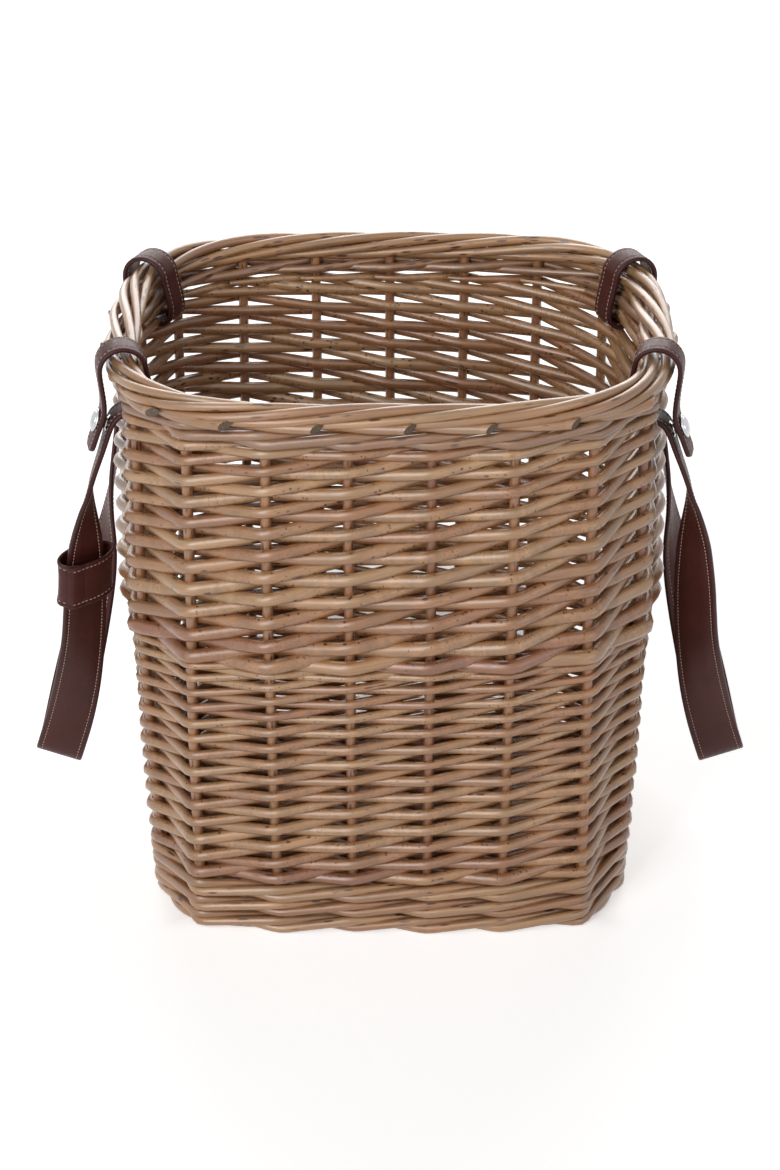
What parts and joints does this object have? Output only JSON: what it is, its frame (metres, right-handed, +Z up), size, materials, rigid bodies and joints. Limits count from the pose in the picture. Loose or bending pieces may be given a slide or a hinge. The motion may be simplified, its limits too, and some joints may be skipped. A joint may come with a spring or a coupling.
{
  "type": "picnic basket",
  "caption": "Open woven willow basket with a rolled border and hanging leather carrying straps that loop over the rim and close with press studs.",
  "frame": {"origin": "on the floor under the middle of the basket", "axes": "+Z up, +X to the right along the long side, -Y towards the front that the picture shows"},
  "size_m": [0.5164, 0.322, 0.4092],
  "materials": {
    "willow": "peeled and stained willow rods, satin, with fine grain and bark specks",
    "dark_willow": "darker orange-brown willow rods, satin",
    "leather": "dark red-brown leather with painted edges and cream stitching",
    "polished_steel": "polished press studs"
  },
  "bodies": {
    "basket": {"stake_01": "willow", "stake_02": "willow", "stake_03": "willow", "stake_04": "willow", "stake_05": "willow", "stake_06": "willow", "stake_07": "willow", "stake_08": "willow", "stake_09": "willow", "stake_10": "willow", "stake_11": "willow", "stake_12": "willow", "stake_13": "willow", "stake_14": "willow", "stake_15": "willow", "stake_16": "willow", "stake_17": "willow", "stake_18": "willow", "stake_19": "willow", "stake_20": "willow", "stake_21": "willow", "bottom_wale": "willow", "lower_weave": "willow", "upper_weave": "willow", "top_wale": "dark_willow", "border_rod_1": "willow", "border_rod_2": "willow", "border_rod_3": "willow", "border_rod_4": "willow", "foot_hoop": "willow", "base_stick_1": "willow", "base_stick_2": "willow", "base_stick_3": "willow", "base_stick_4": "willow", "base_stick_5": "willow", "base_weave": "willow", "strap_loop_left_near": "leather", "strap_loop_left_far": "leather", "strap_loop_right_near": "leather", "strap_loop_right_far": "leather", "press_stud_cap_left_near": "polished_steel", "press_stud_cap_left_far": "polished_steel", "press_stud_cap_right_near": "polished_steel", "press_stud_cap_right_far": "polished_steel", "press_stud_post_left_near": "polished_steel", "press_stud_post_left_far": "polished_steel", "press_stud_post_right_near": "polished_steel", "press_stud_post_right_far": "polished_steel"},
    "right_handle": {"handle_strap_right": "leather"},
    "left_handle": {"handle_strap_left": "leather"},
    "left_keeper": {"strap_keeper": "leather"}
  },
  "joints": [
    {"name": "right_handle_lift", "type": "hinge", "parent": "basket", "child": "right_handle", "pos_m": [0.19879, 0.01598, 0.30266], "axis": [0.0538, -0.9985, 0], "range_deg": [0, 155]},
    {"name": "left_handle_lift", "type": "hinge", "parent": "basket", "child": "left_handle", "pos_m": [-0.19881, 0.01598, 0.30262], "axis": [0.0539, 0.9985, 0], "range_deg": [0, 155]},
    {"name": "keeper_slide", "type": "slide", "parent": "left_handle", "child": "left_keeper", "axis": [-0.0841, 0.3045, -0.9488], "range_m": [-0.01, 0.01]}
  ]
}
